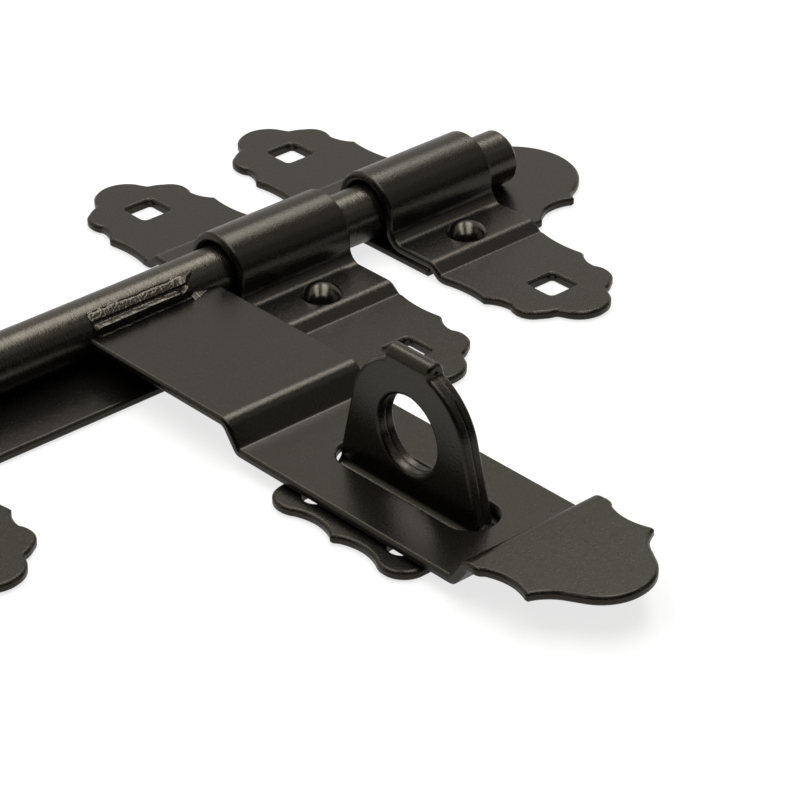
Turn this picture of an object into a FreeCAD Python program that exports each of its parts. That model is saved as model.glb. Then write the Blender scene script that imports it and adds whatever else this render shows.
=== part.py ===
import FreeCAD, Part
import math
import os

# Pad bolt for a door or gate, locked: a round bolt with a welded hasp flap,
# its riveted guides, the keeper and the folded padlock staple.
# X runs along the bolt towards the keeper, -Y towards the flap's tip, +Z away from the wall.
# The origin is on the wall plane, under the bolt axis, at the middle of the right guide.

# Strip metal
sheet = 2.5
edge_ease = 0.6
corner_radius = 0.8
corner_least_turn = 8.0
straight_lead = 1.0
tolerance = 0.001
plate_half_width = 25.0

# Bolt
rod_radius = 7.5
rod_chamfer = 1.2
rod_running_clearance = 0.1
rod_height = sheet + rod_running_clearance + rod_radius

# Guides and keeper, all pressed with one tool
hoop_bore_radius = 8.1
guide_half_length = 18.5
guide_spacing = 136.0
keeper_spacing = 50.8
right_guide_x = 0.0
left_guide_x = right_guide_x - guide_spacing
keeper_x = right_guide_x + keeper_spacing
hoop_bend_radius = 3.5
joggle_gap = 1.0
joggle_start_y = plate_half_width + joggle_gap
joggle_run = 3.2
joggle_end_y = joggle_start_y + joggle_run
joggle_bend_radius = 2.1

# Wing outline: distance in from the guide's side, then distance past the joggle
wing_waist = (0.9, 7.8)
wing_cusp = (0.3, 16.6)
wing_neck_bow = (2.5, 20.1)
wing_neck = (3.1, 23.8)
wing_lobe = (2.5, 28.8)
wing_lobe_end = (5.6, 32.4)
wing_notch_bow = (7.6, 33.7)
wing_notch = (9.7, 34.5)
wing_nose_side = (10.5, 36.1)
wing_reach = 41.7
bolt_hole_width = 9.0
bolt_hole_corner = 1.0
bolt_hole_reach = 23.4
bolt_hole_y = joggle_end_y + bolt_hole_reach

# How far the bolt shows past the outer guides
rod_left_overhang = 5.5
rod_right_overhang = 12.7
rod_left_end = left_guide_x - guide_half_length - rod_left_overhang
rod_right_end = keeper_x + guide_half_length + rod_right_overhang

# Rivets
rivet_edge = 5.0
rivet_y = plate_half_width - rivet_edge
rivet_head_radius = 5.5
rivet_head_height = 3.6
rivet_shank_radius = 3.0
rivet_sink_radius = 4.2
rivet_sink_depth = 1.2

# Shaped plate ends, lengths counted from the guide's edge
end_shoulder = 4.6
end_waist = (13.0, 20.2)
end_spike = (20.1, 21.8)
end_flank_bow = (21.5, 19.3)
end_notch = (24.4, 17.2)
end_tip = 35.5

# Hasp flap
hasp_x = -44.2
flap_half_width = 21.1
flap_root_y = -4.0
flap_level = 10.25
flap_low_clearance = 0.3
flap_low_level = sheet + flap_low_clearance + sheet / 2
crank_run = 4.7
flap_low_run = 75.0
flap_first_crest_y = -60.0
flap_first_valley_y = flap_first_crest_y - crank_run
flap_second_valley_y = flap_first_valley_y - flap_low_run
flap_second_crest_y = flap_second_valley_y - crank_run
flap_crest_radius = 3.0
flap_valley_radius = 2.05
slot_half_width = 6.7
slot_half_length = 25.2

# Finger tip outline: distance in from the flap's side, then distance past the second crest
tip_shoulder_bow = (0.1, 3.8)
tip_shoulder_end = (1.2, 5.2)
tip_waist = (2.6, 11.9)
tip_spike = (0.9, 18.8)
tip_flank_bow = (4.6, 20.7)
tip_flank = (8.0, 24.8)
tip_nose_side = (10.1, 28.4)
tip_reach = 34.4

# Welds along the flap's inner edge
weld_left_x = -61.0
weld_right_x = -35.3
weld_top_radius = 2.3
weld_top_centre = (-5.75, 12.35)
weld_top_slope = ((-7.75, 13.45), (-6.05, 14.5))
weld_low_radius = 1.8
weld_low_centre = (-6.9, 7.9)

# Padlock staple, one folded sheet
staple_offset = 0.4
staple_setback = 40.5
staple_x = hasp_x - staple_offset
staple_y = flap_first_valley_y - staple_setback
staple_seam = 0.2
staple_top = 40.5
staple_foot_radius = 3.25
staple_root_half = 23.9
staple_shoulder = (19.3, 23.5)
staple_arch = (15.3, 31.6)
staple_fold_half = 7.5
staple_fold_side_z = 37.2
padlock_hole_z = 19.6
padlock_hole_radius = 10.0
foot_set_in_right = 2.4
foot_half_width = 24.9
foot_neck = 5.5
foot_neck_run = 1.5
foot_corner = 19.9
foot_lobe_side = (26.5, 18.3)
foot_lobe_end = (25.4, 14.6)
foot_waist = (24.0, 7.6)
foot_spike_side = (25.3, 1.7)
foot_spike = 26.5
foot_hole_x = 17.6
foot_hole_y = 15.0
foot_hole_radius = 3.6

ACROSS_X = FreeCAD.Rotation(FreeCAD.Vector(1, 1, 1), 120)
ACROSS_Y = FreeCAD.Rotation(FreeCAD.Vector(1, 0, 0), 90)


def point(pair):
    return FreeCAD.Vector(pair[0], pair[1], 0)


def run_edges(start, steps):
    """Edges of an outline: a step of one point is a line, of two points an arc through the first."""
    edges = []
    here = point(start)
    for step in steps:
        there = point(step[-1])
        if len(step) == 1:
            edges.append(Part.LineSegment(here, there).toShape())
        else:
            edges.append(Part.Arc(here, point(step[0]), there).toShape())
        here = there
    return edges


def mirrored(edges, normal):
    return edges + [edge.mirror(FreeCAD.Vector(0, 0, 0), normal) for edge in edges]


def prism(edges, low, high):
    """Solid with the given outline in XY, from one height to another."""
    wire = Part.Wire(Part.__sortEdges__(edges))
    solid = Part.Face(wire).extrude(FreeCAD.Vector(0, 0, high - low))
    solid.translate(FreeCAD.Vector(0, 0, low))
    return solid.removeSplitter()


def turn_at(solid, edge):
    """Angle in degrees between the two faces that meet at an edge, 0 where they run on smoothly."""
    middle = edge.valueAt((edge.FirstParameter + edge.LastParameter) / 2)
    faces = solid.ancestorsOfType(edge, Part.Face)
    normals = [face.normalAt(*face.Surface.parameter(middle)) for face in faces]
    return math.degrees(normals[0].getAngle(normals[1]))


def ornate_plate(edges, low, high, is_joined):
    """Flat piece with rounded corners in plan and broken rims, left plain where it joins the rest."""
    solid = prism(edges, low, high)
    corners = [
        edge
        for edge in solid.Edges
        if edge.BoundBox.ZLength > (high - low) / 2
        and not is_joined(edge)
        and turn_at(solid, edge) > corner_least_turn
    ]
    solid = solid.makeFillet(corner_radius, corners)
    return eased(solid, lambda edge: edge.BoundBox.ZLength < tolerance and not is_joined(edge))


def strip_sides(solid, half_width):
    """Breaks the long edges on both sides of a bent strip, bend after bend."""

    def on_side(edge):
        box = edge.BoundBox
        flush = abs(abs(box.ZMin) - half_width) < tolerance and box.ZLength < tolerance
        is_cap = abs(edge.Length - sheet) < tolerance and edge.Curve.TypeId == "Part::GeomLine"
        return flush and not is_cap

    return eased(solid, on_side)


def nose_via(side, tip):
    """Point halfway along a round nose that runs from a side point to the tip on the centre line."""
    rise = tip - side[1]
    radius = (side[0] ** 2 + rise ** 2) / (2 * rise)
    half = math.atan2(side[0], radius - rise) / 2
    return (radius * math.sin(half), tip - radius + radius * math.cos(half))


def bent_sheet(path, radii, thickness, width):
    """Sheet bent along a centre line with a bend radius at each inner corner, extruded about the middle."""
    points = [point(pair) for pair in path]
    runs = [(b - a).normalize() for a, b in zip(points, points[1:])]
    up = FreeCAD.Vector(0, 0, 1)
    sides = []
    for side in (1, -1):
        shift = thickness / 2 * side
        edges = []
        here = points[0] + up.cross(runs[0]) * shift
        for corner, radius, before, after in zip(points[1:-1], radii, runs, runs[1:]):
            turn = math.atan2(before.cross(after).z, before.dot(after))
            hand = math.copysign(1, turn)
            reach = radius * math.tan(abs(turn) / 2)
            centre = corner - before * reach + up.cross(before) * radius * hand
            bend = radius - hand * shift
            arc_start = corner - before * reach + up.cross(before) * shift
            arc_end = corner + after * reach + up.cross(after) * shift
            arc_middle = centre + (corner - centre).normalize() * bend
            if here.distanceToPoint(arc_start) > tolerance:
                edges.append(Part.LineSegment(here, arc_start).toShape())
            edges.append(Part.Arc(arc_start, arc_middle, arc_end).toShape())
            here = arc_end
        last = points[-1] + up.cross(runs[-1]) * shift
        if here.distanceToPoint(last) > tolerance:
            edges.append(Part.LineSegment(here, last).toShape())
        sides.append((edges, points[0] + up.cross(runs[0]) * shift, last))
    caps = [Part.LineSegment(sides[0][k], sides[1][k]).toShape() for k in (1, 2)]
    wire = Part.Wire(Part.__sortEdges__(sides[0][0] + sides[1][0] + caps))
    solid = Part.Face(wire).extrude(FreeCAD.Vector(0, 0, width))
    solid.translate(FreeCAD.Vector(0, 0, -width / 2))
    return solid


def turned(solid, rotation, place):
    solid.Placement = FreeCAD.Placement(FreeCAD.Vector(*place), rotation).multiply(solid.Placement)
    return solid


def eased(solid, chosen):
    """Breaks the chosen sharp edges, as tumbling leaves them."""
    return solid.makeChamfer(edge_ease, [edge for edge in solid.Edges if chosen(edge)])


def is_level(edge, z):
    box = edge.BoundBox
    return abs(box.ZMin - z) < tolerance and abs(box.ZMax - z) < tolerance


def cylinder(radius, x, y, low, high):
    return Part.makeCylinder(radius, high - low, FreeCAD.Vector(x, y, low))


def square_hole(x, y):
    half = bolt_hole_width / 2
    block = Part.makeBox(
        bolt_hole_width, bolt_hole_width, 3 * sheet, FreeCAD.Vector(x - half, y - half, -sheet)
    )
    upright = [edge for edge in block.Edges if edge.BoundBox.ZLength > sheet]
    return block.makeFillet(bolt_hole_corner, upright)


def rivet_places(centres):
    return [(x, side * rivet_y) for x in centres for side in (-1, 1)]


def rivet_hole(x, y):
    """Through hole with a shallow countersink at the back."""
    hole = cylinder(rivet_shank_radius, x, y, -sheet, 3 * sheet)
    sink = Part.makeCone(rivet_sink_radius, rivet_shank_radius, rivet_sink_depth, FreeCAD.Vector(x, y, 0))
    return hole.fuse(sink)


def rivet(x, y):
    """Dome head on the flange, shank through both sheets, back end set flush in the countersink."""
    seat = 2 * sheet
    crown = nose_via((rivet_head_radius, seat), seat + rivet_head_height)
    steps = [
        [(rivet_sink_radius, 0)],
        [(rivet_shank_radius, rivet_sink_depth)],
        [(rivet_shank_radius, seat)],
        [(rivet_head_radius, seat)],
        [crown, (0, seat + rivet_head_height)],
        [(0, 0)],
    ]
    face = Part.Face(Part.Wire(run_edges((0, 0), steps)))
    face.rotate(FreeCAD.Vector(0, 0, 0), FreeCAD.Vector(1, 0, 0), 90)
    solid = face.revolve(FreeCAD.Vector(0, 0, 0), FreeCAD.Vector(0, 0, 1), 360)
    solid.translate(FreeCAD.Vector(x, y, 0))
    return solid


def wing_start():
    """Where the joggle's last bend has run out and the wing is flat."""
    fall = math.atan2(sheet, joggle_run)
    return joggle_end_y + joggle_bend_radius * math.tan(fall / 2)


def wing():
    """Flat wing on the +Y side: a waist, side lobes and a round nose."""
    start = wing_start()

    def place(pair):
        return (guide_half_length - pair[0], joggle_end_y + pair[1])

    tip = joggle_end_y + wing_reach
    nose_side = place(wing_nose_side)
    side = run_edges(
        (0, start),
        [
            [(guide_half_length, start)],
            [(guide_half_length, start + straight_lead)],
            [place(wing_waist), place(wing_cusp)],
            [place(wing_neck_bow), place(wing_neck)],
            [place(wing_lobe), place(wing_lobe_end)],
            [place(wing_notch_bow), place(wing_notch)],
            [nose_side],
            [nose_via(nose_side, tip), (0, tip)],
        ],
    )
    outline = mirrored(side, FreeCAD.Vector(1, 0, 0))
    return ornate_plate(outline, 0, sheet, lambda edge: edge.BoundBox.YMax < start + tolerance)


def on_square_hole(edge):
    """True for a square hole's edge on the wing's top face."""
    middle = edge.BoundBox.Center
    near = max(abs(middle.x), abs(abs(middle.y) - bolt_hole_y)) < bolt_hole_width / 2 + edge_ease
    return is_level(edge, sheet) and near


def guide(x):
    """Saddle hoop over the bolt, flanges on the plate, joggles and wings down on the wall."""
    hoop = hoop_bore_radius + sheet / 2
    flange = 1.5 * sheet
    crown = sheet + hoop_bore_radius + hoop
    bend = hoop_bend_radius + sheet / 2
    half = [
        (wing_start(), sheet / 2),
        (joggle_end_y, sheet / 2),
        (joggle_start_y, flange),
        (hoop, flange),
        (hoop, crown),
    ]
    path = half + [(-y, z) for y, z in reversed(half)]
    radii = [joggle_bend_radius, joggle_bend_radius, bend, hoop]
    hoop_strip = bent_sheet(path, radii + radii[::-1], sheet, 2 * guide_half_length)
    body = turned(strip_sides(hoop_strip, guide_half_length), ACROSS_X, (0, 0, 0))
    near_wing = wing()
    far_wing = wing()
    far_wing.rotate(FreeCAD.Vector(0, 0, 0), FreeCAD.Vector(0, 0, 1), 180)
    body = body.fuse([near_wing, far_wing]).removeSplitter()
    cuts = [square_hole(0, side * bolt_hole_y) for side in (-1, 1)]
    cuts += [rivet_hole(0, y) for _, y in rivet_places([0])]
    body = eased(body.cut(cuts).removeSplitter(), on_square_hole)
    body.translate(FreeCAD.Vector(x, 0, 0))
    return body


def shaped_plate(square_x, edge_x, rivet_centres):
    """Flat plate, square at one end and with the shaped end past the guide's edge at the other."""
    hand = math.copysign(1, edge_x - square_x)

    def out(pair):
        return (edge_x + hand * pair[0], pair[1])

    nose = nose_via((end_notch[1], end_notch[0]), end_tip)
    half = run_edges(
        (square_x, 0),
        [
            [(square_x, plate_half_width)],
            [out((end_shoulder, plate_half_width))],
            [out(end_waist), out(end_spike)],
            [out(end_flank_bow), out(end_notch)],
            [out((nose[1], nose[0])), out((end_tip, 0))],
        ],
    )
    plate = ornate_plate(mirrored(half, FreeCAD.Vector(0, 1, 0)), 0, sheet, lambda edge: False)
    return plate.cut([rivet_hole(x, y) for x, y in rivet_places(rivet_centres)])


def bolt_rod():
    steps = [
        [(rod_left_end, rod_radius - rod_chamfer)],
        [(rod_left_end + rod_chamfer, rod_radius)],
        [(rod_right_end - rod_chamfer, rod_radius)],
        [(rod_right_end, rod_radius - rod_chamfer)],
        [(rod_right_end, 0)],
        [(rod_left_end, 0)],
    ]
    face = Part.Face(Part.Wire(run_edges((rod_left_end, 0), steps)))
    rod = face.revolve(FreeCAD.Vector(0, 0, 0), FreeCAD.Vector(1, 0, 0), 360)
    rod.translate(FreeCAD.Vector(0, 0, rod_height))
    return rod


def rod_room():
    """Space round the bolt that the flap and its welds keep clear of."""
    return Part.makeCylinder(
        rod_radius + rod_running_clearance,
        rod_right_end - rod_left_end,
        FreeCAD.Vector(rod_left_end, 0, rod_height),
        FreeCAD.Vector(1, 0, 0),
    )


def flap_tip():
    """Flat finger tip, drawn with its length along +Y and then turned to -Y."""
    start = flap_tip_start()

    def place(pair):
        return (flap_half_width - pair[0], pair[1] - flap_second_crest_y)

    tip = tip_reach - flap_second_crest_y
    nose_side = place(tip_nose_side)
    side = run_edges(
        (0, start),
        [
            [(flap_half_width, start)],
            [(flap_half_width, start + straight_lead / 2)],
            [place(tip_shoulder_bow), place(tip_shoulder_end)],
            [place(tip_waist), place(tip_spike)],
            [place(tip_flank_bow), place(tip_flank)],
            [nose_side],
            [nose_via(nose_side, tip), (0, tip)],
        ],
    )
    outline = mirrored(side, FreeCAD.Vector(1, 0, 0))
    low = flap_level - sheet / 2
    plate = ornate_plate(outline, low, low + sheet, lambda edge: edge.BoundBox.YMax < start + tolerance)
    plate.rotate(FreeCAD.Vector(0, 0, 0), FreeCAD.Vector(0, 0, 1), 180)
    return plate


def flap_tip_start():
    """Distance from the bolt's axis at which the second crest has run out."""
    rise = math.atan2(flap_level - flap_low_level, crank_run)
    return -flap_second_crest_y + flap_crest_radius * math.tan(rise / 2)


def slot():
    reach = slot_half_length - slot_half_width
    block = Part.makeBox(
        2 * slot_half_width, 2 * reach, flap_level, FreeCAD.Vector(-slot_half_width, staple_y - reach, 0)
    )
    ends = [cylinder(slot_half_width, 0, staple_y + side * reach, 0, flap_level) for side in (-1, 1)]
    return block.fuse(ends)


def on_slot_rim(edge):
    """True for the slot's edges on both faces of the flap."""
    box = edge.BoundBox
    in_width = abs(box.Center.x) < slot_half_width + edge_ease
    in_length = abs(box.Center.y - staple_y) < slot_half_length + edge_ease
    return in_width and in_length and box.ZLength < tolerance


def hasp_flap():
    """Strip that leaves the bolt, drops onto the staple's feet and rises again into the finger tip."""
    path = [
        (flap_root_y, flap_level),
        (flap_first_crest_y, flap_level),
        (flap_first_valley_y, flap_low_level),
        (flap_second_valley_y, flap_low_level),
        (flap_second_crest_y, flap_level),
        (-flap_tip_start(), flap_level),
    ]
    radii = [flap_crest_radius, flap_valley_radius, flap_valley_radius, flap_crest_radius]
    strip = bent_sheet(path, radii, sheet, 2 * flap_half_width)
    body = turned(strip_sides(strip, flap_half_width), ACROSS_X, (0, 0, 0)).fuse(flap_tip())
    body = eased(body.cut(slot()).removeSplitter(), on_slot_rim)
    body.translate(FreeCAD.Vector(hasp_x, 0, 0))
    return body.cut(rod_room())


def weld(centre, radius, flap):
    """Round-ended bead in the corner between the flap's edge and the bolt."""
    low = FreeCAD.Vector(weld_left_x, centre[0], centre[1])
    bead = Part.makeCylinder(radius, weld_right_x - weld_left_x, low, FreeCAD.Vector(1, 0, 0))
    ends = [
        Part.makeSphere(radius, FreeCAD.Vector(x, centre[0], centre[1]))
        for x in (weld_left_x, weld_right_x)
    ]
    return bead.fuse(ends).removeSplitter().cut([rod_room(), flap])


def weld_beads(flap):
    """Top bead with its crown worn to a sloping flat, and the plain bead underneath."""
    (y, z), (far_y, far_z) = weld_top_slope
    slope = math.degrees(math.atan2(far_z - z, far_y - y))
    length = weld_right_x - weld_left_x + 4 * weld_top_radius
    width = 8 * weld_top_radius
    above = Part.makeBox(
        length, width, 2 * weld_top_radius, FreeCAD.Vector(-length / 2, -width / 2, 0)
    )
    above.rotate(FreeCAD.Vector(0, 0, 0), FreeCAD.Vector(1, 0, 0), slope)
    above.translate(FreeCAD.Vector((weld_left_x + weld_right_x) / 2, y, z))
    top = weld(weld_top_centre, weld_top_radius, flap).cut(above)
    low = weld(weld_low_centre, weld_low_radius, flap)
    return Part.Compound([top, low])


def staple_foot(set_in):
    """Flat shaped foot on the +X side, from the end of its bend outwards."""
    start = sheet / 2 + staple_seam / 2 + staple_foot_radius

    def place(pair):
        return (pair[0] - set_in, pair[1])

    half = run_edges(
        (start, 0),
        [
            [(start, staple_root_half)],
            [(foot_neck, staple_root_half)],
            [(foot_neck + foot_neck_run, foot_half_width)],
            [place((foot_corner, foot_half_width))],
            [place(foot_lobe_side), place(foot_lobe_end)],
            [place(foot_waist), place(foot_spike_side)],
            [place((foot_spike, 0))],
        ],
    )
    outline = mirrored(half, FreeCAD.Vector(0, 1, 0))
    return ornate_plate(outline, 0, sheet, lambda edge: edge.BoundBox.XMax < start + tolerance)


def staple_layer():
    """Upright layer of the eye, drawn flat in XY with Y as its height, its rims plain at the seam."""
    low = staple_seam / 2
    bottom = sheet / 2 + staple_foot_radius
    top = staple_top - sheet - staple_seam / 2

    def is_joined(edge):
        box = edge.BoundBox
        return box.YMax < bottom + tolerance or box.YMin > top - tolerance or box.ZMax < low + tolerance

    side = run_edges(
        (0, bottom),
        [
            [(staple_root_half, bottom)],
            [(staple_root_half, bottom + straight_lead)],
            [staple_shoulder],
            [staple_arch, (staple_fold_half, staple_fold_side_z)],
            [(staple_fold_half, top)],
            [(0, top)],
        ],
    )
    layer = ornate_plate(mirrored(side, FreeCAD.Vector(1, 0, 0)), low, low + sheet, is_joined)
    return turned(layer, ACROSS_X, (0, 0, 0))


def staple_side(set_in):
    """Foot, bend and upright layer on the +X side."""
    layer = (sheet + staple_seam) / 2
    end = sheet / 2 + staple_foot_radius
    path = [(layer + staple_foot_radius, sheet / 2), (layer, sheet / 2), (layer, end)]
    bend = bent_sheet(path, [staple_foot_radius], sheet, 2 * staple_root_half)
    bend = turned(strip_sides(bend, staple_root_half), ACROSS_Y, (0, 0, 0))
    return [staple_foot(set_in), bend, staple_layer()]


def on_eye_rim(edge):
    """True for the padlock hole's edge on the two outer faces."""
    box = edge.BoundBox
    outside = abs(abs(box.Center.x) - sheet - staple_seam / 2) < tolerance
    return outside and abs(box.ZLength - 2 * padlock_hole_radius) < tolerance


def staple():
    """One sheet folded at the top, its two layers flat together, feet bent out to both sides."""
    layer = (sheet + staple_seam) / 2
    crown = staple_top - sheet / 2
    rise = crown - layer
    path = [(layer, rise), (layer, crown), (-layer, crown), (-layer, rise)]
    fold = bent_sheet(path, [layer, layer], sheet, 2 * staple_fold_half)
    fold = turned(strip_sides(fold, staple_fold_half), ACROSS_Y, (0, 0, 0))
    near = staple_side(0)
    for piece in near:
        piece.rotate(FreeCAD.Vector(0, 0, 0), FreeCAD.Vector(0, 0, 1), 180)
    body = fold.fuse(near + staple_side(foot_set_in_right))
    eye = Part.makeCylinder(
        padlock_hole_radius, 4 * sheet, FreeCAD.Vector(-2 * sheet, 0, padlock_hole_z), FreeCAD.Vector(1, 0, 0)
    )
    cuts = [eye]
    for x in (-foot_hole_x, foot_hole_x):
        cuts += [cylinder(foot_hole_radius, x, side * foot_hole_y, -sheet, 2 * sheet) for side in (-1, 1)]
    body = eased(body.cut(cuts).removeSplitter(), on_eye_rim)
    body.translate(FreeCAD.Vector(staple_x, staple_y, 0))
    return body


def build():
    main_left_edge = left_guide_x - guide_half_length
    flap = hasp_flap()
    rivets = [rivet(x, y) for x, y in rivet_places([left_guide_x, right_guide_x, keeper_x])]
    return {
        "main_plate": shaped_plate(
            right_guide_x + guide_half_length, main_left_edge, [left_guide_x, right_guide_x]
        ),
        "left_guide": guide(left_guide_x),
        "right_guide": guide(right_guide_x),
        "keeper_plate": shaped_plate(keeper_x - guide_half_length, keeper_x + guide_half_length, [keeper_x]),
        "keeper_guide": guide(keeper_x),
        "rivets": Part.Compound(rivets),
        "bolt_rod": bolt_rod(),
        "hasp_flap": flap,
        "weld_beads": weld_beads(flap),
        "staple": staple(),
    }


os.makedirs("parts", exist_ok=True)
for name, shape in build().items():
    box = shape.BoundBox
    print(name, shape.isValid(), len(shape.Solids), round(shape.Volume), box)
    shape.exportStep("parts/" + name + ".step")
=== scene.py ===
import math

import bpy
from mathutils import Matrix, Vector, noise


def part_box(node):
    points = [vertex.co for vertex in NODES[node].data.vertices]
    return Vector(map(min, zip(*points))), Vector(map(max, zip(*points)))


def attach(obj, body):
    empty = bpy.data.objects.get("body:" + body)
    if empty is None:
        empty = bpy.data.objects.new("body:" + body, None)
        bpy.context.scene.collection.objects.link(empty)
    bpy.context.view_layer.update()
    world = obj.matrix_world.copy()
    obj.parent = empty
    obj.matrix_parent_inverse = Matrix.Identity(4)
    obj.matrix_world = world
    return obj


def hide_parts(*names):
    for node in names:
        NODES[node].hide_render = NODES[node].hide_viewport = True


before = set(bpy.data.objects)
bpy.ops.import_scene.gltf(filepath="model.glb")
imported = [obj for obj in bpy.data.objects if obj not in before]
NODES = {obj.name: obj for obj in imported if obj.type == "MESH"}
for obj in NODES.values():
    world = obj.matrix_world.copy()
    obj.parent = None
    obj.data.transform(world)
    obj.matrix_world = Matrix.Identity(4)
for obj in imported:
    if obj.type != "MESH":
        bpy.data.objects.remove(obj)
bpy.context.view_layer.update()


MM = 0.001
WHITE = (1.0, 1.0, 1.0, 1.0)
BLACK = (0.0, 0.0, 0.0, 1.0)
CORNERS = ((-1, -1), (1, -1), (1, 1), (-1, 1))


# Node helpers, with the places of the mix node's sockets for colours

MIX_FIRST_COLOUR = 6
MIX_SECOND_COLOUR = 7
MIX_RESULT_COLOUR = 2


def new_material(name):
    material = bpy.data.materials.new(name)
    material.use_nodes = True
    material.node_tree.nodes.clear()
    return material, material.node_tree


def add(tree, kind, **values):
    """New node, with its sockets or settings filled in by name."""
    node = tree.nodes.new(kind)
    for key, value in values.items():
        if key in node.inputs:
            node.inputs[key].default_value = value
        else:
            setattr(node, key, value)
    return node


def ramp(tree, source, stops):
    node = tree.nodes.new("ShaderNodeValToRGB")
    elements = node.color_ramp.elements
    elements[0].position, elements[0].color = stops[0]
    elements[1].position, elements[1].color = stops[-1]
    for position, colour in stops[1:-1]:
        elements.new(position).color = colour
    tree.links.new(source, node.inputs["Fac"])
    return node.outputs["Color"]


def noise_tex(tree, vector, scale, detail=2.0, rough=0.5):
    node = add(tree, "ShaderNodeTexNoise", Scale=scale, Detail=detail, Roughness=rough)
    tree.links.new(vector, node.inputs["Vector"])
    return node.outputs["Fac"]


def map_range(tree, source, low, high, from_min=0.0, from_max=1.0):
    node = add(tree, "ShaderNodeMapRange")
    node.inputs["From Min"].default_value = from_min
    node.inputs["From Max"].default_value = from_max
    node.inputs["To Min"].default_value = low
    node.inputs["To Max"].default_value = high
    tree.links.new(source, node.inputs["Value"])
    return node.outputs["Result"]


def bumped(tree, height, normal, strength, depth):
    node = add(tree, "ShaderNodeBump")
    node.inputs["Strength"].default_value = strength
    node.inputs["Distance"].default_value = depth
    tree.links.new(height, node.inputs["Height"])
    tree.links.new(normal, node.inputs["Normal"])
    return node.outputs["Normal"]


def surface(tree, shader):
    out = add(tree, "ShaderNodeOutputMaterial")
    tree.links.new(shader.outputs[0], out.inputs["Surface"])


def grey(v, warm=0.8):
    return (v, v * (0.5 + warm / 2), v * warm, 1.0)


# Powder coat: scales are per metre, depths in metres

BROAD_SCALE = 38.0
PEEL_SCALE = 1700.0
GRIT_SCALE = 4200.0
DUST_SCALE = 1500.0
PEEL_DEPTH = 0.00006
GRIT_DEPTH = 0.00002
NOISE_LOW = 0.3
NOISE_HIGH = 0.7
DUST_STARTS = 0.73
DUST_FULL = 0.84
DUST_LIFT = 2.6
DUST_WARMTH = 0.9
WARM_SPECULAR = (1.0, 0.88, 0.70, 1.0)
STREAK_STRETCH = (1.0, 0.35, 0.35)


def coat(name, base=0.0042, rough=(0.18, 0.28), peel=0.85, grain=0.5, bevel=0.0006, streaks=False, ior=1.5):
    """Black satin powder coat: warm black, fine orange peel, a little dust and soft bright edges."""
    material, tree = new_material(name)
    where = add(tree, "ShaderNodeTexCoord").outputs["Object"]
    where_peel = where
    if streaks:
        stretch = add(tree, "ShaderNodeMapping", Scale=STREAK_STRETCH)
        tree.links.new(where, stretch.inputs["Vector"])
        where_peel = stretch.outputs["Vector"]
    broad = noise_tex(tree, where, BROAD_SCALE, 3.0)
    orange_peel = noise_tex(tree, where_peel, PEEL_SCALE, 3.0, 0.6)
    grit = noise_tex(tree, where, GRIT_SCALE, 2.0, 0.6)
    dust = noise_tex(tree, where, DUST_SCALE, 1.0, 0.4)

    colour = ramp(tree, broad, [(NOISE_LOW, grey(base * 0.85)), (NOISE_HIGH, grey(base * 1.15))])
    specks = ramp(tree, dust, [(DUST_STARTS, BLACK), (DUST_FULL, WHITE)])
    mix = add(tree, "ShaderNodeMix", data_type="RGBA")
    tree.links.new(specks, mix.inputs["Factor"])
    tree.links.new(colour, mix.inputs[MIX_FIRST_COLOUR])
    mix.inputs[MIX_SECOND_COLOUR].default_value = grey(base * DUST_LIFT, DUST_WARMTH)

    edge = add(tree, "ShaderNodeBevel", samples=6)
    edge.inputs["Radius"].default_value = bevel
    normal = bumped(tree, orange_peel, edge.outputs["Normal"], peel, PEEL_DEPTH)
    normal = bumped(tree, grit, normal, grain, GRIT_DEPTH)

    shader = add(tree, "ShaderNodeBsdfPrincipled")
    shader.inputs["IOR"].default_value = ior
    shader.inputs["Specular Tint"].default_value = WARM_SPECULAR
    tree.links.new(mix.outputs[MIX_RESULT_COLOUR], shader.inputs["Base Color"])
    shine = map_range(tree, orange_peel, rough[0], rough[1], NOISE_LOW, NOISE_HIGH)
    tree.links.new(shine, shader.inputs["Roughness"])
    tree.links.new(normal, shader.inputs["Normal"])
    surface(tree, shader)
    return material


SHEET = coat("powder_coat_sheet")
PRESSED = coat("powder_coat_pressed", rough=(0.19, 0.29), bevel=0.0008)
ROD = coat("powder_coat_rod", rough=(0.19, 0.33), peel=1.3, streaks=True, ior=1.65)
RIVET = coat("powder_coat_rivet", rough=(0.14, 0.22), peel=0.4, ior=1.6)
WELD = coat("powder_coat_weld", rough=(0.16, 0.28), peel=1.0, bevel=0.0001, ior=1.65)

SHARP_EDGE = math.radians(32)
WELD_SHARP_EDGE = math.radians(40)


def dress(name, material):
    obj = NODES[name]
    obj.data.materials.clear()
    obj.data.materials.append(material)
    obj.data.shade_smooth()
    obj.data.set_sharp_from_angle(angle=SHARP_EDGE)


for node_name, node_material in {
    "main_plate": SHEET,
    "keeper_plate": SHEET,
    "left_guide": PRESSED,
    "right_guide": PRESSED,
    "keeper_guide": PRESSED,
    "rivets": RIVET,
    "bolt_rod": ROD,
    "hasp_flap": SHEET,
    "weld_beads": WELD,
    "staple": PRESSED,
}.items():
    dress(node_name, node_material)


# Weld with its ragged skin: lengths in millimetres, turns in degrees from the bolt's top towards the flap


def box_mm(name):
    return [[v / MM for v in corner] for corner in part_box(name)]


rod_low, rod_high = box_mm("bolt_rod")
flap_high = box_mm("hasp_flap")[1]
SHEET_THICKNESS = 2.5
SKIN_LIFT = 0.06
FACE_LIFT = 0.03
ROD_AXIS_Z = (rod_low[2] + rod_high[2]) / 2
ROD_SKIN = rod_high[1] + SKIN_LIFT
FLAP_TOP = flap_high[2] + FACE_LIFT
FLAP_BOTTOM = flap_high[2] - SHEET_THICKNESS - FACE_LIFT

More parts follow.
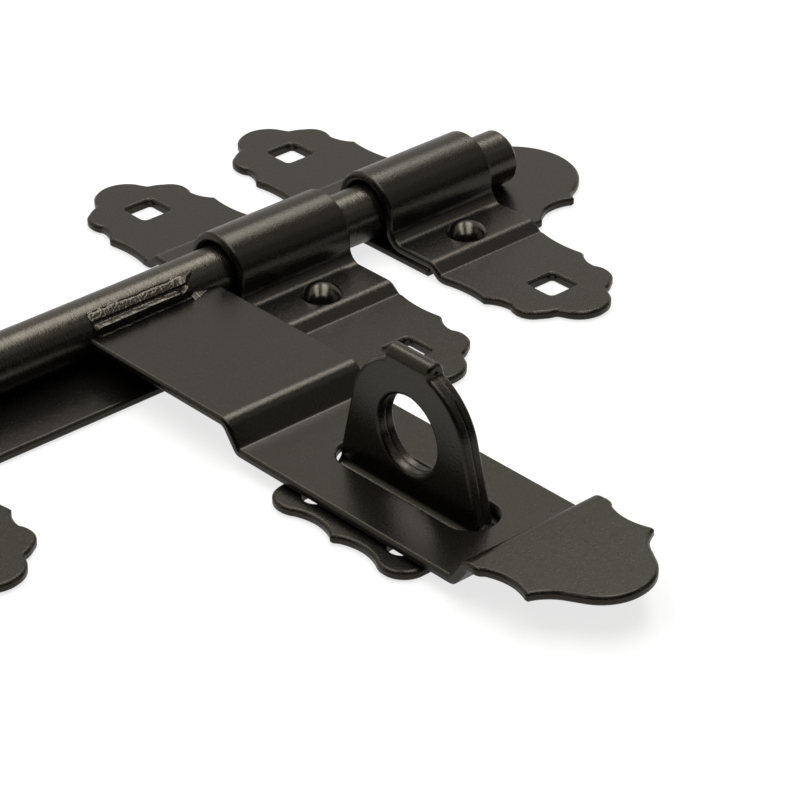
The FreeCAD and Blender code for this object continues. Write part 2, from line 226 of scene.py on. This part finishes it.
WELD_LEFT = -63.2
WELD_RIGHT = -32.2
WELD_STEPS = 380
LEFT_ROUNDING = 1.6
LEFT_BLUNTNESS = 0.05
RIGHT_ROUNDING = 1.7
RIGHT_BLUNTNESS = 0.02
BACK_TURNS = (79, 70, 60, 50, 40, 30)

BLOB_X = -33.5
BLOB_WIDTH = 1.0
BLOB_ON_TOE = 0.5
BLOB_ON_LEDGE = 0.7
NOTCH_X = BLOB_X - 1.9
NOTCH_WIDTH = 0.7
NOTCH_DEPTH = 0.4

TOE_START = 30.0
TOE_END = 50.0
TOE_WANDER = (5.0, 2.2, 41)
TOE_ROWS = 14
TOE_ARC = 3.4
TOE_SINK = 0.10
TOE_THICKNESS = 0.18
TOE_RISE = 0.26
TOE_FADE = 2.5
END_LEAN = 3.4
END_LEAN_RUN = 8.0

LEDGE_ROOT = (-7.6, 12.3)
SHELF_WAVES = ((0.10, 5.0, 11), (0.06, 1.1, 13))
LIP_WAVES = ((0.60, 4.2, 17), (0.22, 1.1, 19))
DRIP_WAVES = ((0.30, 1.8, 23), (0.14, 0.6, 29))
WIDER_FROM = -46.0
WIDER_RUN = 12.0
WIDER_BY = 0.35

TAIL_RIGHT = -27.2
TAIL_OVERLAP = 0.8
TAIL_STEPS = 60
TAIL_HEIGHT = 1.0
TAIL_EDGE = 0.05
TAIL_FALL = 0.9
TAIL_SPREAD = 2.3
TAIL_SAG = 0.05
TAIL_WAVES = ((0.08, 0.9, 43),)

LOW_LEFT = -62.6
LOW_RIGHT = -33.6
LOW_STEPS = 160
LOW_AROUND = 16
LOW_CENTRE = (-7.3, 7.6)
LOW_RADIUS = 1.25
LOW_BLUNTNESS = 0.04
LOW_RIPPLE = 0.12
LOW_RIPPLES_PER_MM = 1.9
LOW_WAVES = ((0.12, 1.1, 37),)


def on_rod(turn, lift=0.0):
    """Point (y, z) on the bolt's skin."""
    a = math.radians(turn)
    r = ROD_SKIN + lift
    return (-r * math.sin(a), ROD_AXIS_Z + r * math.cos(a))


def bell(x, centre, width):
    return math.exp(-(((x - centre) / width) ** 2))


def rounded(end):
    """Quarter-round rise from 0 to 1, for a bead's two ends."""
    return math.sqrt(max(0.0, 1 - (1 - end) ** 2))


def ragged(x, row, pitch, seed):
    return noise.noise(Vector((x / pitch, row * 1.7 + seed, seed)))


def waves(x, row, parts):
    """Sum of ragged waves, each given as its height, pitch and seed."""
    return sum(height * ragged(x, row, pitch, seed) for height, pitch, seed in parts)


def crumble(x, arc):
    """Uneven skin of the bead's toe: lumps about a millimetre wide with finer grit."""
    lumps = noise.noise(Vector((x / 0.9, arc / 0.7, 3.0)))
    grit = noise.noise(Vector((x / 0.38, arc / 0.38, 10.0)))
    return 0.07 * lumps + 0.06 * grit


def toe_points(x, full, blob):
    """Rough toe that grows out of the bolt's skin, leaning to the right near the bead's right end."""
    lean = END_LEAN * max(0.0, min(1.0, (x - WELD_RIGHT + END_LEAN_RUN) / END_LEAN_RUN)) ** 2
    start = TOE_START + waves(x, 2, (TOE_WANDER,))
    points = []
    for row in range(TOE_ROWS + 1):
        part = row / TOE_ROWS
        fade = min(1.0, part * TOE_FADE)
        skin = TOE_THICKNESS + crumble(x, part * TOE_ARC)
        lift = TOE_RISE * part * part + skin * fade + BLOB_ON_TOE * blob * fade
        y, z = on_rod(start + (TOE_END - start) * part, full * lift - TOE_SINK)
        points.append((x + lean * (1 - part), y, z))
    return points


def front_points(x, blob):
    """Points (y, z) of the step behind the ledge, the ledge, its lip, the steep face and the foot."""
    notch = bell(x, NOTCH_X, NOTCH_WIDTH)
    shelf = waves(x, 7, SHELF_WAVES)
    edge = waves(x, 8, LIP_WAVES)
    drip = waves(x, 9, DRIP_WAVES)
    wide = WIDER_BY * max(0.0, min(1.0, (WIDER_FROM - x) / WIDER_RUN))
    rise = BLOB_ON_LEDGE * blob - NOTCH_DEPTH * notch
    step = [
        (-6.05 - shelf, 14.45 + rise),
        (-6.35 - shelf, 14.30 + rise),
    ]
    ledge = [
        (-6.9 - wide * 0.3, 14.26 + shelf + rise),
        (-7.4 - wide * 0.6, 14.22 + shelf * 1.5 + rise),
    ]
    lip = [
        (-7.85 - wide * 0.9 - edge * 0.5, 14.20 + edge * 0.4 + rise * 0.8),
        (-8.12 - wide - edge * 0.7, 14.10 + edge * 0.4 + rise * 0.6),
        (-8.25 - wide - edge * 0.7, 13.85 + edge * 0.4 + rise * 0.3),
    ]
    face = [
        (-8.1 - wide - edge * 0.4, 13.2),
        (-7.8 - wide - drip * 0.5, 12.3),
    ]
    foot = [
        (-7.8 - wide - drip * 0.8, 11.78),
        (-8.35 - wide - drip, FLAP_TOP + 0.01),
    ]
    return step + ledge + lip + face + foot


def weld_section(x):
    """Ring of points (x, y, z) across the top bead at one place, back along the bolt's skin."""
    blob = bell(x, BLOB_X, BLOB_WIDTH)
    from_left = (x - WELD_LEFT) / LEFT_ROUNDING + LEFT_BLUNTNESS
    from_right = (WELD_RIGHT - x) / RIGHT_ROUNDING + RIGHT_BLUNTNESS
    full = rounded(min(1.0, from_left, from_right))
    points = toe_points(x, full, blob)
    root_y, root_z = LEDGE_ROOT
    for y, z in front_points(x, blob):
        points.append((x, root_y + (y - root_y) * full, max(FLAP_TOP, root_z + (z - root_z) * full)))
    for turn in BACK_TURNS:
        points.append((x, *on_rod(turn)))
    return points


def plain_mesh(name, verts, faces, material):
    mesh = bpy.data.meshes.new(name)
    mesh.from_pydata(verts, [], faces)
    mesh.materials.append(material)
    obj = bpy.data.objects.new(name, mesh)
    bpy.context.scene.collection.objects.link(obj)
    return obj


def tube_mesh(name, sections):
    """Closed skin through rings of points in millimetres, all with the same count, capped at both ends."""
    verts = [tuple(v * MM for v in point) for ring in sections for point in ring]
    count = len(sections[0])
    faces = []
    for k in range(len(sections) - 1):
        for j in range(count):
            a, b = k * count + j, k * count + (j + 1) % count
            faces.append((a, b, b + count, a + count))
    faces.append(tuple(range(count))[::-1])
    faces.append(tuple(range((len(sections) - 1) * count, len(sections) * count)))
    obj = plain_mesh(name, verts, faces, WELD)
    obj.data.shade_smooth()
    obj.data.set_sharp_from_angle(angle=WELD_SHARP_EDGE)
    return obj


def top_weld():
    xs = [WELD_LEFT + (WELD_RIGHT - WELD_LEFT) * k / WELD_STEPS for k in range(WELD_STEPS + 1)]
    return tube_mesh("top_weld", [weld_section(x) for x in xs])


def tail_weld():
    """Thin run of weld past the bead's right end, in the corner between the bolt and the flap."""
    sections = []
    left = WELD_RIGHT - TAIL_OVERLAP
    low = math.degrees(math.acos((FLAP_TOP - ROD_AXIS_Z) / ROD_SKIN))
    for k in range(TAIL_STEPS + 1):
        x = left + (TAIL_RIGHT - left) * k / TAIL_STEPS
        height = TAIL_EDGE + TAIL_HEIGHT * (1 - k / TAIL_STEPS) ** TAIL_FALL + waves(x, 1, TAIL_WAVES)
        top = math.degrees(math.acos((FLAP_TOP + height - ROD_AXIS_Z) / ROD_SKIN))
        reach = on_rod(low)[0] - TAIL_SPREAD * height
        high = on_rod(top)
        ring = [high]
        for part in (0.25, 0.5, 0.75, 1.0):
            sag = TAIL_SAG * height * math.sin(math.pi * part)
            z = high[1] + (FLAP_TOP - high[1]) * part - sag
            ring.append((high[0] + (reach - high[0]) * part, max(FLAP_TOP, z)))
        ring += [on_rod(low), on_rod((low + top) / 2)]
        sections.append([(x, y, z) for y, z in ring])
    return tube_mesh("weld_tail", sections)


def low_weld():
    """Plain rippled bead under the flap."""
    sections = []
    for k in range(LOW_STEPS + 1):
        x = LOW_LEFT + (LOW_RIGHT - LOW_LEFT) * k / LOW_STEPS
        from_end = min(x - LOW_LEFT, LOW_RIGHT - x) / LEFT_ROUNDING + LOW_BLUNTNESS
        ripple = LOW_RIPPLE * abs(math.sin(x * LOW_RIPPLES_PER_MM)) + waves(x, 1, LOW_WAVES)
        radius = rounded(min(1.0, from_end)) * (LOW_RADIUS + ripple)
        ring = []
        for j in range(LOW_AROUND):
            a = 2 * math.pi * j / LOW_AROUND
            y = LOW_CENTRE[0] + radius * math.cos(a)
            z = min(FLAP_BOTTOM, LOW_CENTRE[1] + radius * math.sin(a))
            push = max(1.0, ROD_SKIN / math.hypot(y, z - ROD_AXIS_Z))
            ring.append((x, y * push, ROD_AXIS_Z + (z - ROD_AXIS_Z) * push))
        sections.append(ring)
    return tube_mesh("low_weld", sections)


for piece in (top_weld(), tail_weld(), low_weld()):
    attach(piece, "hasp")
    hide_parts("weld_beads")


# Camera at the photo's angle: distance in metres, sensor and lens in millimetres

AZIMUTH = math.radians(-41.55)
ELEVATION = math.radians(30.36)
ROLL = math.radians(-0.67)
TARGET = Vector((-15.4, -67.2, 0.0)) * MM
DISTANCE = 0.842
SENSOR_WIDTH = 36.0
LENS = 153.7


def add_camera():
    data = bpy.data.cameras.new("camera")
    data.sensor_width = SENSOR_WIDTH
    data.lens = LENS
    camera = bpy.data.objects.new("camera", data)
    bpy.context.scene.collection.objects.link(camera)
    level = math.cos(ELEVATION)
    back = Vector((math.sin(AZIMUTH) * level, -math.cos(AZIMUTH) * level, math.sin(ELEVATION)))
    right = Vector((math.cos(AZIMUTH), math.sin(AZIMUTH), 0.0))
    up = back.cross(right)
    c, s = math.cos(ROLL), math.sin(ROLL)
    right, up = c * right + s * up, c * up - s * right
    rotation = Matrix((right, up, back)).transposed()
    camera.matrix_world = Matrix.Translation(TARGET + back * DISTANCE) @ rotation.to_4x4()
    bpy.context.scene.camera = camera


add_camera()


# Floor, cards, lamps and world, in metres

FLOOR_REACH = 6.0
FLOOR_Z = -0.0003
FLOOR_COLOUR = (0.3, 0.3, 0.297, 1)
FLOOR_GLOW = 0.76
MIRRORED_SHARE = 0.5


def floor_material():
    """Pale matt floor that looks white to the camera, pale in reflections, and keeps the shadow."""
    material, tree = new_material("studio_floor")
    rays = add(tree, "ShaderNodeLightPath")
    mirrored = add(tree, "ShaderNodeMath", operation="ADD")
    tree.links.new(rays.outputs["Is Glossy Ray"], mirrored.inputs[0])
    tree.links.new(rays.outputs["Is Transmission Ray"], mirrored.inputs[1])
    seen = add(tree, "ShaderNodeMath", operation="MULTIPLY_ADD")
    seen.inputs[1].default_value = MIRRORED_SHARE
    tree.links.new(mirrored.outputs[0], seen.inputs[0])
    tree.links.new(rays.outputs["Is Camera Ray"], seen.inputs[2])
    power = add(tree, "ShaderNodeMath", operation="MULTIPLY")
    power.use_clamp = True
    power.inputs[1].default_value = FLOOR_GLOW
    tree.links.new(seen.outputs[0], power.inputs[0])
    glow = add(tree, "ShaderNodeEmission", Color=WHITE)
    tree.links.new(power.outputs[0], glow.inputs["Strength"])
    matt = add(tree, "ShaderNodeBsdfDiffuse", Color=FLOOR_COLOUR)
    total = add(tree, "ShaderNodeAddShader")
    tree.links.new(matt.outputs[0], total.inputs[0])
    tree.links.new(glow.outputs[0], total.inputs[1])
    surface(tree, total)
    return material


def add_floor():
    verts = [(i * FLOOR_REACH, j * FLOOR_REACH, FLOOR_Z) for i, j in CORNERS]
    plain_mesh("floor", verts, [(0, 1, 2, 3)], floor_material())


def only_in_reflections(card):
    card.visible_camera = False
    card.visible_diffuse = False
    card.visible_shadow = False


TENT_COLOUR = (0.012, 0.012, 0.012, 1)
TENT_STEPS = 24
TENT_START = math.radians(-125)
TENT_END = math.radians(85)
TENT_RINGS = ((3.2, 0.02), (3.2, 2.0), (2.0, 3.1), (0.1, 3.6))


def dark_tent():
    """Dark tent on the camera's side and overhead that only reflections see, as studio flags."""
    material, tree = new_material("studio_flag")
    surface(tree, add(tree, "ShaderNodeBsdfDiffuse", Color=TENT_COLOUR))
    verts, faces = [], []
    for k in range(TENT_STEPS + 1):
        a = TENT_START + (TENT_END - TENT_START) * k / TENT_STEPS
        for radius, z in TENT_RINGS:
            verts.append((TARGET.x + radius * math.sin(a), TARGET.y - radius * math.cos(a), z))
    rows = len(TENT_RINGS)
    for k in range(TENT_STEPS):
        for j in range(rows - 1):
            a = rows * k + j
            faces.append((a, a + rows, a + rows + 1, a + 1))
    only_in_reflections(plain_mesh("studio_flag", verts, faces, material))


CARD_DISTANCE = 2.8


def fill_card(turn, tilt, width, height, strength):
    """Dim card that only reflections see, in one direction from the object."""
    material, tree = new_material("fill_card")
    surface(tree, add(tree, "ShaderNodeEmission", Strength=strength))
    a, e = math.radians(turn), math.radians(tilt)
    ahead = Vector((math.sin(a) * math.cos(e), -math.cos(a) * math.cos(e), math.sin(e)))
    across = Vector((math.cos(a), math.sin(a), 0.0))
    rise = ahead.cross(across)
    centre = TARGET + ahead * CARD_DISTANCE
    verts = [tuple(centre + across * (i * width / 2) + rise * (j * height / 2)) for i, j in CORNERS]
    only_in_reflections(plain_mesh("fill_card", verts, [(0, 1, 2, 3)], material))


STRIP_HEIGHT = 1.6
STRIP_LENGTH = 2.5
STRIP_BACK = 0.48
STRIP_RADIANCE = 4.4


def strip_light(name, sideways, width):
    """Long softbox overhead that runs in the camera's viewing direction, offset to one side of it."""
    ahead = Vector((-math.sin(AZIMUTH), math.cos(AZIMUTH), 0.0))
    side = Vector((math.cos(AZIMUTH), math.sin(AZIMUTH), 0.0))
    centre = TARGET + ahead * STRIP_BACK + side * sideways
    centre.z = STRIP_HEIGHT
    light = bpy.data.lights.new(name, "AREA")
    light.shape = "RECTANGLE"
    light.size = width
    light.size_y = STRIP_LENGTH
    light.energy = STRIP_RADIANCE * math.pi * width * STRIP_LENGTH
    obj = bpy.data.objects.new(name, light)
    obj.matrix_world = Matrix.Translation(centre) @ Matrix.Rotation(AZIMUTH, 4, "Z")
    bpy.context.scene.collection.objects.link(obj)


WORLD_COLOUR = (1.0, 0.96, 0.89, 1.0)
WORLD_LIGHTS = 0.2
WORLD_SEEN = 0.64


def add_world():
    """Soft even light, with a brighter backdrop for the camera and for reflections."""
    world = bpy.data.worlds.new("studio")
    bpy.context.scene.world = world
    world.use_nodes = True
    tree = world.node_tree
    tree.nodes.clear()
    rays = add(tree, "ShaderNodeLightPath")
    direct = add(tree, "ShaderNodeMath", operation="ADD")
    tree.links.new(rays.outputs["Is Camera Ray"], direct.inputs[0])
    tree.links.new(rays.outputs["Is Glossy Ray"], direct.inputs[1])
    seen = add(tree, "ShaderNodeMath", operation="ADD")
    seen.use_clamp = True
    tree.links.new(direct.outputs[0], seen.inputs[0])
    tree.links.new(rays.outputs["Is Transmission Ray"], seen.inputs[1])
    back = add(tree, "ShaderNodeBackground", Color=WORLD_COLOUR)
    tree.links.new(map_range(tree, seen.outputs[0], WORLD_LIGHTS, WORLD_SEEN), back.inputs["Strength"])
    out = add(tree, "ShaderNodeOutputWorld")
    tree.links.new(back.outputs[0], out.inputs["Surface"])


add_floor()
dark_tent()
fill_card(turn=48.0, tilt=24.0, width=1.7, height=0.9, strength=0.30)
fill_card(turn=57.0, tilt=46.0, width=1.4, height=1.0, strength=0.50)
strip_light("right_strip", sideways=0.32, width=0.62)
strip_light("left_strip", sideways=-0.68, width=0.46)
add_world()
bpy.context.scene.view_settings.view_transform = "Standard"
